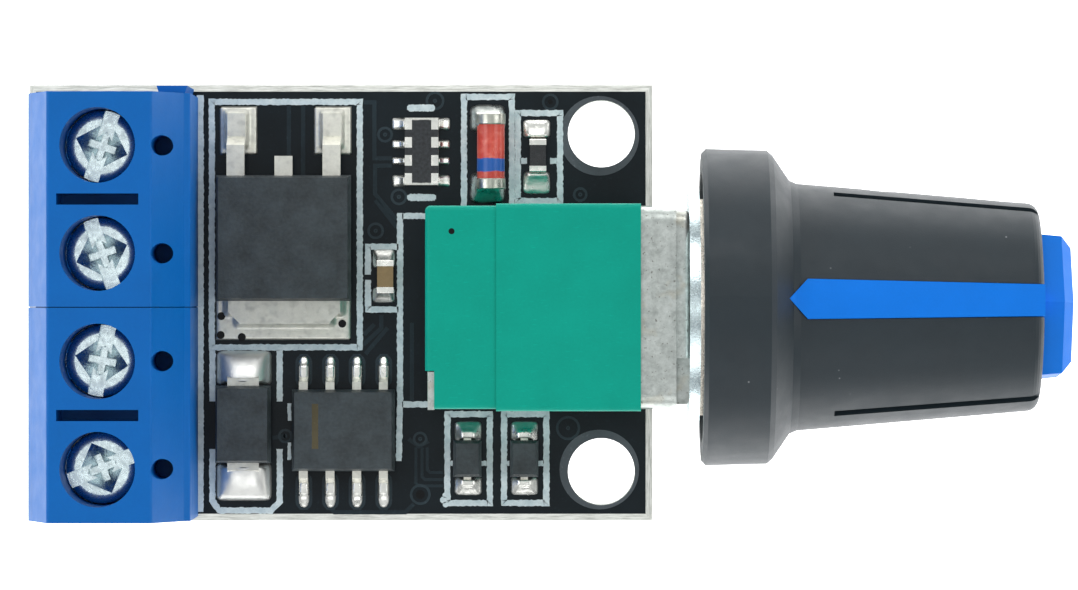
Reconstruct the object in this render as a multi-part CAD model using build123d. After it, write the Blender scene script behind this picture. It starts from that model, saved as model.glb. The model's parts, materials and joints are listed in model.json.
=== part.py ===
from build123d import *
from math import cos, radians, sin, sqrt
import os

os.makedirs("parts", exist_ok=True)

# ---------------------------------------------------------------- dimensions (mm)
# Frame: origin midway between the two mounting holes on the board's underside,
# +X along the knob shaft away from the board, +Z up through the components.

# circuit board
board_length = 29.75
board_width = 20.8
board_thickness = 1.6
board_front_margin = 2.44      # mounting-hole line to the knob-side edge
mount_hole_dia = 3.2
mount_hole_edge = 2.34         # mounting hole centre to the long edge
score_inset = 0.33             # V-score bevel, across
score_depth = 0.45             # V-score bevel, down

# clearances
snug = 0.02                    # parts of one body that are pressed together
running = 0.05                 # turning or sliding metal in plastic or metal
free_gap = 0.2                 # bodies that pass each other
block_gap = 0.04               # between the two interlocked terminal blocks

# terminal blocks
pole_pitch = 5.0
poles_per_block = 2
block_count = 2
block_depth = 7.6
block_height = 10.0
block_setback = 0.47           # board's rear edge to the wire-entry face
block_shift = -0.2             # centre of the pair of blocks from the hole mid-line
front_slope_run = 1.12
front_slope_drop = 3.5
rear_top_run = 1.64
rear_slope_run = 1.35
rear_slope_drop = 3.1
screw_dia = 3.0
screw_pitch = 0.5
screw_head_over = 0.36         # head diameter over the thread
screw_head_height = 0.95
screw_head_round = 0.42
screw_slot_width = 0.72
screw_slot_depth = 0.4
screw_cross_depth = 0.7          # sloping walls of the cross recess
screw_wing = (1.3, 0.34, 0.95)   # length, width and depth of the wings at its middle
screw_rest_angles = (72, 109, 79, 22)   # slot direction of each screw at rest
clamp_travel = 1.7             # cage lift from open to closed
cage_wall = 0.45
cage_floor = 0.55
cage_roof = 0.8
cage_depth = 3.26
cage_lift_off = 0.3            # cage floor above the board when open
bar_thickness = 0.5
bar_side_gap = 0.2
contact_leg = 0.5
pin_width = 1.0
pin_thickness = 0.6
pin_hole_dia = 1.3
pin_stick_out = 1.5            # pins below the board's underside
entry_rim = 0.55               # plastic left beside each wire entry
wall_slot_width = 0.52
wall_slot_length = 3.8
wall_slot_depth = 3.0
probe_hole_dia = 0.95
probe_hole_depth = 4.5
rib_length = 1.2
rib_depth = 0.37
rib_flare = 0.12
rib_height = 6.4

# potentiometer with switch
shaft_dia = 6.0
axis_height = 6.5              # shaft axis above the board's top
axis_shift = -0.2              # shaft axis from the hole mid-line
pot_body_over = 1.56           # body width over the bushing flange's diameter
pot_body_above = 0.85          # body above the bushing's flange
pot_body_base = 0.1            # above the board's top
pot_front = 1.71               # front face of the green housing
pot_housing_length = 6.66
switch_length = 3.27
switch_inset = 0.1             # rear housing is this much narrower per side
frame_over = 1.26              # frame width over the bushing flange's diameter
frame_length = 2.25
frame_step = 0.62
frame_step_inset = 0.16
frame_wall = 0.6
frame_plate = 0.8
frame_notch = 2.3
strap_thickness = 0.3
strap_recess = 0.36
strap_fold = 1.75
bushing_wall = 0.45
bushing_length = 5.54
bushing_flange = 0.55
bushing_flange_over = 1.0      # flange diameter over the bushing's
washer_dia = 11.3
washer_thickness = 0.5
nut_over_bushing = 3.0         # across flats over the bushing diameter
nut_height = 2.0
shaft_reach = 13.1             # shaft end in front of the frame
neck_dia = 4.0
spline_count = 18
spline_depth = 0.25
shaft_slot_width = 1.0
track_thickness = 0.8
track_dia = 8.0
rotor_dia = 7.6
rotor_thickness = 1.1
wiper_thickness = 0.2
pot_pin_pitch = 2.5
pot_pin_width = 0.8
pot_pin_thickness = 0.3
pot_pin_hole_dia = 1.05
cam_dia = 4.8
cam_nose = 0.5
cam_length = 0.9

# knob
knob_skirt_dia = 14.8
knob_rear = 4.6
knob_skirt_end = 7.9
knob_cone_end = 8.85
knob_body_dia = 11.6
knob_nose_dia = 9.72
knob_end = 20.3
knob_dome = 0.25
knob_edge_round = 0.55
knob_tilt = 3.9                # pointer's lean from straight up at mid travel
skirt_wall = 1.0
groove_width = 0.5
groove_depth = 0.28
groove_start = 10.7
groove_first = 65.0            # degrees from the pointer
groove_count = 9
pointer_tip = 8.5
pointer_shoulder = 9.35
pointer_width_rear = 1.85
pointer_width_front = 1.46
pointer_proud = 0.1
pointer_depth = 1.3
cap_dia = 7.6                  # across the corners
cap_length = 1.45
cap_facet = 0.45
stem_dia = 5.0
stem_length = 2.5

# surface-mounted parts: centre offsets (from the rear edge, from the mid-line)
mosfet_at = (12.19, 3.08)
mosfet_body = (6.42, 5.99, 2.3)
mosfet_lead_pitch = 4.56
mosfet_lead_width = 0.85
mosfet_lead_thickness = 0.5
mosfet_lead_reach = 2.95
mosfet_stub_reach = 0.9
mosfet_tab_width = 5.34
mosfet_tab_reach = 1.07
mosfet_tab_chamfer = 0.55
rectifier_at = (10.26, -5.78)
rectifier_body = (2.65, 3.7, 2.1)
rectifier_span = 4.7
rectifier_lead = (1.5, 0.2)
timer_at = (15.02, -6.07)
timer_body = (4.9, 3.9, 1.5)
timer_span = 6.1
timer_pitch = 1.27
timer_lead = (0.42, 0.2)
array_at = (18.74, 7.21)
array_body = (1.6, 3.2, 0.5)
array_pitch = 0.86
array_terminal = (0.34, 0.5)
diode_at = (22.04, 7.2)
diode_dia = 1.4
diode_length = 3.6
diode_cap = 0.52
chip_resistor_at = (24.28, 7.02)
chip_resistor_body = (0.8, 1.6, 0.45)
chip_capacitor_at = (17.01, 1.24)
chip_capacitor_body = (0.8, 1.6, 0.8)
chip_terminal = 0.3
signal_diode_x = (20.92, 23.63)
signal_diode_y = -7.43
signal_diode_body = (1.35, 1.75, 1.0)
signal_diode_span = 2.6
signal_diode_lead = (0.35, 0.15)
body_draft = 0.14              # moulded packages narrow by this much per side
standoff = 0.1                 # moulded packages above the board

# solder
solder_base_dia = 2.0
solder_top_dia = 1.35
solder_height = 0.9

# ---------------------------------------------------------------- derived values
top = board_thickness
front_edge = board_front_margin
rear_edge = front_edge - board_length
hole_y = board_width / 2 - mount_hole_edge

entry_face = rear_edge + block_setback
block_back = entry_face + block_depth
block_width = pole_pitch * poles_per_block
pole_x = entry_face + 3.46
head_dia = screw_dia + screw_head_over
head_hole_dia = head_dia + 2 * running + 0.04
cage_width = pole_pitch - 1.1
chamber_width = pole_pitch - 0.7
cage_open_z = top + cage_lift_off
bar_z = cage_open_z + cage_floor + clamp_travel + 0.15
tip_z = bar_z + bar_thickness + running
cage_roof_z = tip_z
cage_height = cage_roof_z + cage_roof - cage_open_z
chamber_roof_z = cage_open_z + cage_height + clamp_travel + free_gap
head_z = chamber_roof_z
chamber_rear = pole_x + cage_depth / 2 + free_gap + contact_leg + 0.1
chamber_front = pole_x - cage_depth / 2 - free_gap
contact_x = chamber_rear - contact_leg / 2

axis_z = top + axis_height
pot_base_z = top + pot_body_base
seam_x = pot_front - pot_housing_length
switch_rear = seam_x - switch_length
frame_front = pot_front + frame_length
bushing_dia = shaft_dia + 2 * running + 2 * bushing_wall
flange_dia = bushing_dia + bushing_flange_over
pot_body_width = flange_dia + pot_body_over
pot_top_z = axis_z + flange_dia / 2 + pot_body_above
frame_width = flange_dia + frame_over
bushing_end = frame_front + bushing_length
nut_flats = bushing_dia + nut_over_bushing
nut_corner_dia = nut_flats * 2 / sqrt(3)
track_front = -0.2
rotor_rear = track_front + 0.5
rotor_front = rotor_rear + rotor_thickness
pot_pin_x = track_front - track_thickness - pot_pin_thickness / 2
switch_pin_x = seam_x - 1.75
cavity_dia = track_dia + 0.2
cam_x = switch_pin_x + pot_pin_thickness / 2 + 0.5
knob_bore_dia = shaft_dia + 2 * snug
skirt_inner_dia = max(nut_corner_dia, washer_dia) + 0.95
skirt_dia = max(knob_skirt_dia, skirt_inner_dia + 2 * skirt_wall)


# ---------------------------------------------------------------- helpers
def block(x0, x1, y0, y1, z0, z1):
    return Pos((x0 + x1) / 2, (y0 + y1) / 2, (z0 + z1) / 2) * Box(x1 - x0, y1 - y0, z1 - z0)


def rod_z(x, y, z0, z1, dia):
    return Pos(x, y, (z0 + z1) / 2) * Cylinder(dia / 2, z1 - z0)


def rod_x(x0, x1, dia, y=axis_shift, z=axis_z):
    return Pos((x0 + x1) / 2, y, z) * Rot(Y=90) * Cylinder(dia / 2, x1 - x0)


def rod_y(x, y0, y1, z, dia):
    return Pos(x, (y0 + y1) / 2, z) * Rot(X=90) * Cylinder(dia / 2, y1 - y0)


def prism_y(points, y0, y1):
    face = make_face(Polyline([(x, y0, z) for x, z in points], close=True))
    return extrude(face, amount=y1 - y0, dir=(0, 1, 0))


def prism_x(points, x0, x1):
    face = make_face(Polyline([(x0, y, z) for y, z in points], close=True))
    return extrude(face, amount=x1 - x0, dir=(1, 0, 0))


def prism_z(points, z0, z1):
    face = make_face(Polyline([(x, y, z0) for x, y in points], close=True))
    return extrude(face, amount=z1 - z0, dir=(0, 0, 1))


def turned_x(points):
    """Solid of revolution about the shaft axis from (x, radius) points."""
    face = make_face(Polyline([(x, 0, r) for x, r in points], close=True))
    return Pos(0, axis_shift, axis_z) * revolve(face, Axis.X)


def level_rect(cx, cy, lx, ly, z):
    return Pos(cx, cy, z) * Rectangle(lx, ly)


def moulded_body(cx, cy, size):
    """Drafted package, widest at its parting line."""
    lx, ly, h = size
    z0, z2 = top + standoff, top + h
    z1 = z0 + 0.42 * (z2 - z0)
    narrow = 2 * body_draft
    lower = loft([level_rect(cx, cy, lx - narrow, ly - narrow, z0), level_rect(cx, cy, lx, ly, z1)])
    upper = loft([level_rect(cx, cy, lx, ly, z1), level_rect(cx, cy, lx - narrow, ly - narrow, z2)])
    return lower + upper, z1


def gull_lead(x, y_in, y_toe, z_exit, width, thick, foot):
    """Lead that leaves the body level, drops and ends in a flat foot."""
    s = 1 if y_toe > y_in else -1
    knee = y_toe - s * (foot + 0.35 * (z_exit - top))
    heel = y_toe - s * foot
    half = thick / 2
    pts = [(y_in, z_exit + half), (knee + s * 0.4 * thick, z_exit + half), (heel + s * half, top + thick),
           (y_toe, top + thick), (y_toe, top), (heel - s * half, top),
           (knee - s * 0.4 * thick, z_exit - half), (y_in, z_exit - half)]
    return prism_x(pts, x - width / 2, x + width / 2)


def group(solids):
    return Compound(children=list(solids))


def pole_y(n):
    """Centre of pole n, counted from the +Y end."""
    total = block_count * poles_per_block
    return block_shift + ((total - 1) / 2 - n) * pole_pitch


nodes = {}

# ---------------------------------------------------------------- board
outline = [(0, -score_inset), (score_depth, 0), (board_thickness - score_depth, 0),
           (board_thickness, -score_inset)]
board_mid_x = (front_edge + rear_edge) / 2
sections = [level_rect(board_mid_x, 0, board_length + 2 * grow, board_width + 2 * grow, z)
            for z, grow in outline]
pcb = loft(sections, ruled=True)
for side in (1, -1):
    pcb -= rod_z(0, side * hole_y, -1, top + 1, mount_hole_dia)
pole_count = block_count * poles_per_block
pin_spots = [(contact_x, pole_y(n), pin_hole_dia) for n in range(pole_count)]
pin_spots += [(pot_pin_x, axis_shift + k * pot_pin_pitch, pot_pin_hole_dia) for k in (-1, 0, 1)]
pin_spots += [(switch_pin_x, axis_shift + k * pot_pin_pitch, pot_pin_hole_dia) for k in (-1, 1)]
for x, y, dia in pin_spots:
    pcb -= rod_z(x, y, -1, top + 1, dia)
nodes["pcb"] = pcb


# ---------------------------------------------------------------- terminal blocks
def housing_blank(y0, y1):
    ztop = top + block_height
    xf, xb = entry_face, block_back
    flat_end = xb - rear_top_run
    pts = [(xf, top), (xb, top), (xb, ztop - rear_slope_drop),
           (xb - (rear_top_run - rear_slope_run), ztop - rear_slope_drop + 0.25), (flat_end, ztop),
           (xf + front_slope_run, ztop), (xf, ztop - front_slope_drop)]
    body = prism_y(pts, y0, y1)
    upper = body.edges().filter_by(Axis.Y).group_by(Axis.Z)[1:]
    return fillet([e for level in upper for e in level], 0.18)


def side_rib(y, grow):
    """Dovetail key on the block's side, wider at its outer face."""
    xc = block_back - rear_top_run + 0.75
    half = rib_length / 2 + grow
    reach = rib_depth + grow
    pts = [(xc - half, y - 0.3), (xc + half, y - 0.3), (xc + half, y),
           (xc + half + rib_flare, y + reach), (xc - half - rib_flare, y + reach), (xc - half, y)]
    return prism_z(pts, top + 0.4, top + rib_height + grow)


def terminal_housing(index):
    centre = block_shift + ((block_count - 1) / 2 - index) * block_width
    y0 = centre - block_width / 2 + block_gap / 2
    y1 = centre + block_width / 2 - block_gap / 2
    ztop = top + block_height
    body = housing_blank(y0, y1)
    for k in range(poles_per_block):
        y = pole_y(index * poles_per_block + k)
        half = chamber_width / 2
        entry = half - entry_rim
        body -= block(chamber_front, chamber_rear, y - half, y + half, top - 1, chamber_roof_z)
        body -= block(entry_face - 1, chamber_front + 0.1, y - entry, y + entry,
                      top + cage_lift_off, bar_z + bar_thickness + 1.0)
        funnel = loft([Plane((entry_face - 0.01, y, top + 2.3), x_dir=(0, 1, 0), z_dir=(1, 0, 0))
                       * Rectangle(2 * entry + 0.6, 4.2),
                       Plane((entry_face + 0.45, y, top + 2.3), x_dir=(0, 1, 0), z_dir=(1, 0, 0))
                       * Rectangle(2 * entry - 0.02, 3.6)])
        body -= funnel
        body -= rod_z(pole_x, y, chamber_roof_z - 0.1, ztop + 1, head_hole_dia)
        probe_x = block_back - rear_top_run + 0.43
        body -= rod_z(probe_x, y, ztop - probe_hole_depth, ztop + 1, probe_hole_dia)
    for k in range(poles_per_block - 1):
        y = (pole_y(index * poles_per_block + k) + pole_y(index * poles_per_block + k + 1)) / 2
        body -= block(pole_x - wall_slot_length / 2, pole_x + wall_slot_length / 2,
                      y - wall_slot_width / 2, y + wall_slot_width / 2, ztop - wall_slot_depth, ztop + 1)
    body += side_rib(y1, 0)
    if index < block_count - 1:
        body -= side_rib(y0 - block_gap, snug)
    return body


for index in range(block_count):
    nodes["terminal_housing_" + "ab"[index]] = terminal_housing(index)


def terminal_contact(y):
    """Fixed clamping bar, leg and solder pin of one pole."""
    width = cage_width - 2 * cage_wall - 2 * bar_side_gap
    x1 = chamber_rear - snug
    x0 = x1 - contact_leg
    bar = block(chamber_front + 0.15, x1, y - width / 2, y + width / 2, bar_z, bar_z + bar_thickness)
    leg = block(x0, x1, y - width / 2, y + width / 2, top + 0.05, bar_z)
    pin = block(contact_x - snug - pin_thickness / 2 + 0.05, contact_x - snug + pin_thickness / 2 - 0.05,
                y - pin_width / 2, y + pin_width / 2, -pin_stick_out, top + 0.05)
    pin = chamfer(pin.faces().sort_by(Axis.Z)[0].edges(), 0.15)
    return bar + leg + pin


for index in range(block_count):
    first = index * poles_per_block
    nodes["terminal_contacts_" + "ab"[index]] = group(
        [terminal_contact(pole_y(n)) for n in range(first, first + poles_per_block)])


def wire_clamp(y):
    """Rising cage: square sleeve with the screw thread in its roof."""
    half_x, half_y = cage_depth / 2, cage_width / 2
    outer = block(pole_x - half_x, pole_x + half_x, y - half_y, y + half_y,
                  cage_open_z, cage_open_z + cage_height)
    outer = fillet(outer.edges().filter_by(Axis.X), 0.35)
    window = block(pole_x - half_x - 1, pole_x + half_x + 1, y - half_y + cage_wall,
                   y + half_y - cage_wall, cage_open_z + cage_floor, cage_roof_z)
    thread = rod_z(pole_x, y, cage_roof_z - 1, cage_open_z + cage_height + 1, screw_dia + 2 * running)
    return outer - window - thread


def terminal_screw(y, angle):
    """Pan-head screw with a full slot and a cross recess."""
    head = rod_z(pole_x, y, head_z, head_z + screw_head_height, head_dia)
    head = fillet(head.edges().group_by(Axis.Z)[-1], screw_head_round)
    shank = rod_z(pole_x, y, tip_z, head_z, screw_dia)
    shank = chamfer(shank.edges().group_by(Axis.Z)[0], 0.25)
    relief = rod_z(pole_x, y, head_z - screw_pitch, head_z, screw_dia + 1)
    shank -= relief - rod_z(pole_x, y, head_z - screw_pitch, head_z, screw_dia - 0.3)
    z = head_z + screw_head_height
    slot = Box(2 * head_dia, screw_slot_width, 2 * screw_slot_depth)
    mouth = (head_dia - 2 * screw_head_round) / 2 ** 0.5
    square = Rot(Z=45) * Rectangle(mouth, mouth)
    cross = loft([square, Pos(0, 0, -screw_cross_depth) * Rot(Z=45) * Rectangle(mouth / 4, mouth / 4)])
    length, width, depth = screw_wing
    wings = Box(length, width, 2 * depth) + Box(width, length, 2 * depth)
    return head + shank - Pos(pole_x, y, z) * Rot(Z=angle) * (slot + cross + wings)


for n in range(pole_count):
    nodes["wire_clamp_" + str(n + 1)] = wire_clamp(pole_y(n))
    nodes["terminal_screw_" + str(n + 1)] = terminal_screw(pole_y(n), screw_rest_angles[n])

# ---------------------------------------------------------------- power switch transistor
mx, my = rear_edge + mosfet_at[0], mosfet_at[1]
body, part_z = moulded_body(mx, my, mosfet_body)
y_edge = my + mosfet_body[1] / 2
lead_z = part_z + 0.05
leads = []
for side in (-1, 1):
    x = mx + side * mosfet_lead_pitch / 2
    leads.append(gull_lead(x, y_edge - 0.5, y_edge + mosfet_lead_reach, lead_z,
                           mosfet_lead_width, mosfet_lead_thickness, 1.35))
leads.append(block(mx - mosfet_lead_width / 2, mx + mosfet_lead_width / 2, y_edge - 0.5,
                   y_edge + mosfet_stub_reach, lead_z - 0.25, lead_z + 0.25))
tab_y = my - mosfet_body[1] / 2
half, reach, nip = mosfet_tab_width / 2, tab_y - mosfet_tab_reach, mosfet_tab_chamfer
leads.append(prism_z([(mx - half, tab_y + 4.2), (mx - half, reach + nip), (mx - half + nip, reach),
                      (mx + half - nip, reach), (mx + half, reach + nip), (mx + half, tab_y + 4.2)],
                     top, top + 0.55))
for lead in leads:
    body -= lead
nodes["mosfet_body"] = body
nodes["mosfet_leads"] = group(leads)

# ---------------------------------------------------------------- rectifier
rx, ry = rear_edge + rectifier_at[0], rectifier_at[1]
body, part_z = moulded_body(rx, ry, rectifier_body)
leads = []
for side in (-1, 1):
    width, thick = rectifier_lead
    y_in = ry + side * (rectifier_body[1] / 2 - 0.4)
    y_out = ry + side * rectifier_span / 2
    y_under = ry + side * (rectifier_body[1] / 2 - 0.9)
    pts = [(y_in, part_z + thick / 2), (y_out - side * 0.15, part_z + thick / 2), (y_out, part_z - 0.1),
           (y_out, top), (y_under, top), (y_under, top + 0.1), (y_out - side * thick, top + 0.1),
           (y_out - side * thick, part_z - 0.2), (y_out - side * 0.3, part_z - thick / 2),
           (y_in, part_z - thick / 2)]
    leads.append(prism_x(pts, rx - width / 2, rx + width / 2))
for lead in leads:
    body -= lead
nodes["rectifier_body"] = body
nodes["rectifier_leads"] = group(leads)

# ---------------------------------------------------------------- timer chip
tx, ty = rear_edge + timer_at[0], timer_at[1]
body, part_z = moulded_body(tx, ty, timer_body)
leads = []
for side in (-1, 1):
    for k in range(4):
        leads.append(gull_lead(tx + (k - 1.5) * timer_pitch, ty + side * (timer_body[1] / 2 - 0.3),
                               ty + side * timer_span / 2, part_z, timer_lead[0], timer_lead[1], 0.6))
for lead in leads:
    body -= lead
nodes["timer_chip_body"] = body
nodes["timer_chip_leads"] = group(leads)

# ---------------------------------------------------------------- resistor array
ax, ay = rear_edge + array_at[0], array_at[1]
lx, ly, h = array_body
body = block(ax - lx / 2, ax + lx / 2, ay - ly / 2, ay + ly / 2, top, top + h)
terminals = []
for side in (-1, 1):
    for k in range(4):
        x_out = ax + side * lx / 2
        x_in = x_out - side * array_terminal[0]
        y = ay + (k - 1.5) * array_pitch
        terminals.append(block(min(x_in, x_out), max(x_in, x_out), y - array_terminal[1] / 2,
                               y + array_terminal[1] / 2, top, top + h))
for terminal in terminals:
    body -= terminal
nodes["resistor_array_body"] = body
nodes["resistor_array_terminals"] = group(terminals)

# ---------------------------------------------------------------- glass diode
gx, gy = rear_edge + diode_at[0], diode_at[1]
gz = top + diode_dia / 2 + 0.02
inner = diode_length / 2 - diode_cap
nodes["glass_diode_body"] = rod_y(gx, gy - inner, gy + inner, gz, diode_dia - 0.08)
caps = []
for side in (-1, 1):
    ends = sorted((gy + side * inner, gy + side * diode_length / 2))
    caps.append(fillet(rod_y(gx, ends[0], ends[1], gz, diode_dia).edges(), 0.06))
nodes["glass_diode_caps"] = group(caps)


# ---------------------------------------------------------------- chip parts
def chip_part(name, at, size):
    cx, cy = rear_edge + at[0], at[1]
    sx, sy, sz = size
    inner = sy / 2 - chip_terminal
    nodes[name + "_body"] = block(cx - sx / 2 + 0.02, cx + sx / 2 - 0.02, cy - inner, cy + inner,
                                  top + 0.02, top + sz - 0.02)
    ends = []
    for s in (-1, 1):
        near, far = sorted((cy + s * inner, cy + s * sy / 2))
        end = block(cx - sx / 2, cx + sx / 2, near, far, top, top + sz)
        ends.append(fillet(end.faces().sort_by(Axis.Y)[0 if s < 0 else -1].edges(), 0.07))
    nodes[name + "_terminals"] = group(ends)


chip_part("chip_resistor", chip_resistor_at, chip_resistor_body)
chip_part("chip_capacitor", chip_capacitor_at, chip_capacitor_body)

# ---------------------------------------------------------------- signal diodes
bodies, leads = [], []
for offset in signal_diode_x:
    sx = rear_edge + offset
    body, part_z = moulded_body(sx, signal_diode_y, signal_diode_body)
    for side in (-1, 1):
        lead = gull_lead(sx, signal_diode_y + side * (signal_diode_body[1] / 2 - 0.25),
                         signal_diode_y + side * signal_diode_span / 2, top + 0.3,
                         signal_diode_lead[0], signal_diode_lead[1], 0.3)
        body -= lead
        leads.append(lead)
    bodies.append(body)
nodes["signal_diode_bodies"] = group(bodies)
nodes["signal_diode_leads"] = group(leads)

# ---------------------------------------------------------------- potentiometer frame and bushing
half = frame_width / 2
frame_base_z = pot_base_z + 0.25
frame_top_z = pot_top_z - 0.2
frame = block(pot_front, frame_front - frame_step, axis_shift - half, axis_shift + half,
              frame_base_z, frame_top_z)
frame = fillet(frame.edges().filter_by(Axis.X), 0.7)
nose = block(pot_front + 0.5, frame_front, axis_shift - half + frame_step_inset,
             axis_shift + half - frame_step_inset, frame_base_z + frame_step_inset,
             frame_top_z - frame_step_inset)
nose = fillet(nose.edges().filter_by(Axis.X), 0.6)
nose = fillet(nose.faces().sort_by(Axis.X)[-1].edges(), 0.22)
frame += nose
frame -= block(frame_front - frame_step + 0.02, frame_front + 1, axis_shift - half - 1,
               axis_shift - half + frame_notch, frame_top_z - 0.75, frame_top_z + 1)
inner_half = half - frame_wall
hollow = block(pot_front - 1, frame_front - frame_plate, axis_shift - inner_half, axis_shift + inner_half,
               frame_base_z + frame_wall, frame_top_z - frame_wall)
frame -= fillet(hollow.edges().filter_by(Axis.X), 0.4)
frame -= rod_x(pot_front, frame_front + 1, bushing_dia + 2 * snug)
spring_x = switch_pin_x + pot_pin_thickness / 2
strap_out = pot_body_width / 2 - strap_recess + strap_thickness
strap_in = pot_body_width / 2 - strap_recess
tab_x0 = switch_rear + 0.12
for side, z0, z1 in ((-1, axis_z - 2.0, pot_top_z - 0.25), (1, axis_z - 3.6, axis_z + 1.2)):
    ya, yb = sorted((axis_shift + side * strap_in, axis_shift + side * strap_out))
    low = z0 if side > 0 else z0 - 1.6
    high = z1 if side > 0 else axis_z + 2.2
    run = block(tab_x0, pot_front + 0.6, ya, yb, low, high)
    join = block(pot_front, pot_front + 0.6, *sorted((axis_shift + side * (half - 0.3),
                                                     axis_shift + side * strap_out)), low, high)
    yc, yd = sorted((axis_shift + side * strap_out, axis_shift + side * (strap_out - strap_fold)))
    tab = block(tab_x0, tab_x0 + strap_thickness, yc, yd, z0, z1)
    frame += run + join + tab
nodes["pot_front_frame"] = frame

flange_rear = frame_front - frame_plate - bushing_flange
bushing = rod_x(flange_rear, frame_front - frame_plate - snug, flange_dia)
bushing += rod_x(flange_rear, bushing_end, bushing_dia)
bushing = chamfer(bushing.edges().group_by(Axis.X)[-1], 0.3)
bushing -= rod_x(flange_rear - 1, bushing_end + 1, shaft_dia + 2 * running)
nodes["pot_bushing"] = bushing

# ---------------------------------------------------------------- potentiometer housings
half = pot_body_width / 2
housing = block(seam_x, pot_front, axis_shift - half, axis_shift + half, pot_base_z, pot_top_z)
housing = fillet(housing.edges().filter_by(Axis.X).group_by(Axis.Z)[-1], 0.25)
housing -= rod_x(seam_x + 1.9, pot_front + 1, cavity_dia)
pocket = track_dia / 2 - 0.4
housing -= block(track_front - track_thickness - 0.4, pot_front + 1, axis_shift - pocket - 0.1,
                 axis_shift + pocket + 0.1, pot_base_z + 0.45, axis_z)
housing -= rod_x(seam_x - 1, pot_front, neck_dia + 0.4)
for k in (-1, 0, 1):
    y = axis_shift + k * pot_pin_pitch
    housing -= block(pot_pin_x - 0.2, pot_pin_x + 0.2, y - pot_pin_width / 2 - 0.05,
                     y + pot_pin_width / 2 + 0.05, pot_base_z - 1, pot_base_z + 1)

half_s = half - switch_inset
switch = block(switch_rear, seam_x, axis_shift - half_s, axis_shift + half_s, pot_base_z,
               pot_top_z - switch_inset)
rear_edges = switch.faces().sort_by(Axis.X)[0].edges()
switch = fillet(rear_edges + switch.edges().filter_by(Axis.X).group_by(Axis.Z)[-1], 0.25)
switch -= rod_x(switch_rear + 0.8, seam_x + 1, cavity_dia)
for k in (-1, 1):
    y = axis_shift + k * pot_pin_pitch
    switch -= block(switch_pin_x - 0.2, switch_pin_x + 0.2, y - pot_pin_width / 2 - 0.05,
                    y + pot_pin_width / 2 + 0.05, pot_base_z - 1, axis_z - 1)
switch -= block(spring_x - 0.05, spring_x + 0.6, axis_shift - pot_pin_pitch - 0.5,
                axis_shift + pot_pin_pitch + 0.5, axis_z - 4.1, axis_z - 2.5)
for side, z0, z1 in ((-1, axis_z - 3.6, axis_z + 2.2), (1, axis_z - 3.6, axis_z + 1.2)):
    ya, yb = sorted((axis_shift + side * strap_in, axis_shift + side * (half + 1)))
    groove = block(switch_rear - 1, pot_front + 1, ya, yb, z0 - 0.05, z1 + 0.05)
    housing -= groove
    switch -= groove
for side, z0, z1 in ((-1, axis_z - 2.0, pot_top_z + 1), (1, axis_z - 3.6, axis_z + 1.2)):
    ya, yb = sorted((axis_shift + side * (half + 1), axis_shift + side * (strap_out - strap_fold - 0.05)))
    switch -= block(switch_rear - 1, tab_x0 + strap_thickness, ya, yb, z0 - 0.05, z1 + 0.05)
nodes["pot_housing"] = housing
nodes["switch_housing"] = switch

# ---------------------------------------------------------------- potentiometer inner parts
track = rod_x(track_front - track_thickness, track_front, track_dia)
track += block(track_front - track_thickness, track_front, axis_shift - pocket, axis_shift + pocket,
               pot_base_z + 0.5, axis_z)
track -= rod_x(track_front - 2, track_front + 1, neck_dia + 0.4)
nodes["pot_track_board"] = track
nodes["pot_terminals"] = group(
    [block(pot_pin_x - pot_pin_thickness / 2, pot_pin_x + pot_pin_thickness / 2,
           axis_shift + k * pot_pin_pitch - pot_pin_width / 2,
           axis_shift + k * pot_pin_pitch + pot_pin_width / 2, -pin_stick_out, pot_base_z + 1.9)
     for k in (-1, 0, 1)])
nodes["switch_terminals"] = group(
    [block(switch_pin_x - pot_pin_thickness / 2, switch_pin_x + pot_pin_thickness / 2,
           axis_shift + k * pot_pin_pitch - pot_pin_width / 2,
           axis_shift + k * pot_pin_pitch + pot_pin_width / 2, -pin_stick_out, axis_z - 3.1)
     for k in (-1, 1)])
spring_half = pot_pin_pitch + 0.35
nodes["switch_contact_spring"] = block(spring_x, spring_x + 0.15, axis_shift - spring_half,
                                       axis_shift + spring_half, axis_z - 3.9, axis_z - 3.15)

rotor = rod_x(rotor_rear, rotor_front, rotor_dia)
rotor = fillet(rotor.edges().group_by(Axis.X)[-1], 0.2) - rod_x(rotor_rear - 1, rotor_front + 1,
                                                               shaft_dia + 2 * snug)
nodes["pot_rotor"] = rotor
wiper = rod_x(rotor_rear - wiper_thickness, rotor_rear, rotor_dia - 0.4)
wiper -= rod_x(rotor_rear - 1, rotor_rear + 1, shaft_dia - 0.6)
for angle in (-60, 60):
    y = axis_shift + 3.3 * sin(radians(angle))
    z = axis_z - 3.3 * cos(radians(angle))
    wiper += rod_x(rotor_rear - wiper_thickness - 0.2, rotor_rear - wiper_thickness, 0.5, y, z)
nodes["pot_wiper"] = wiper

shaft_end = frame_front + shaft_reach
shaft = rod_x(rotor_rear, shaft_end, shaft_dia)
shaft = chamfer(shaft.edges().group_by(Axis.X)[-1], 0.4)
shaft += rod_x(rotor_rear - wiper_thickness, rotor_rear, shaft_dia - 0.7)
shaft += rod_x(cam_x, rotor_rear - wiper_thickness, neck_dia)
ring_front = flange_rear - free_gap
ring_rear = ring_front - 0.4
shaft -= rod_x(ring_rear - snug, ring_front + snug, shaft_dia + 1) - rod_x(ring_rear - 1, ring_front + 1,
                                                                       shaft_dia - 0.9)
spline_start = bushing_end + 0.4
for k in range(spline_count):
    tooth_gap = prism_x([(-0.32, shaft_dia / 2 + 0.2), (0, shaft_dia / 2 - spline_depth),
                         (0.32, shaft_dia / 2 + 0.2)], spline_start, shaft_end + 1)
    shaft -= Pos(0, axis_shift, axis_z) * Rot(X=360 * k / spline_count) * tooth_gap
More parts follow.
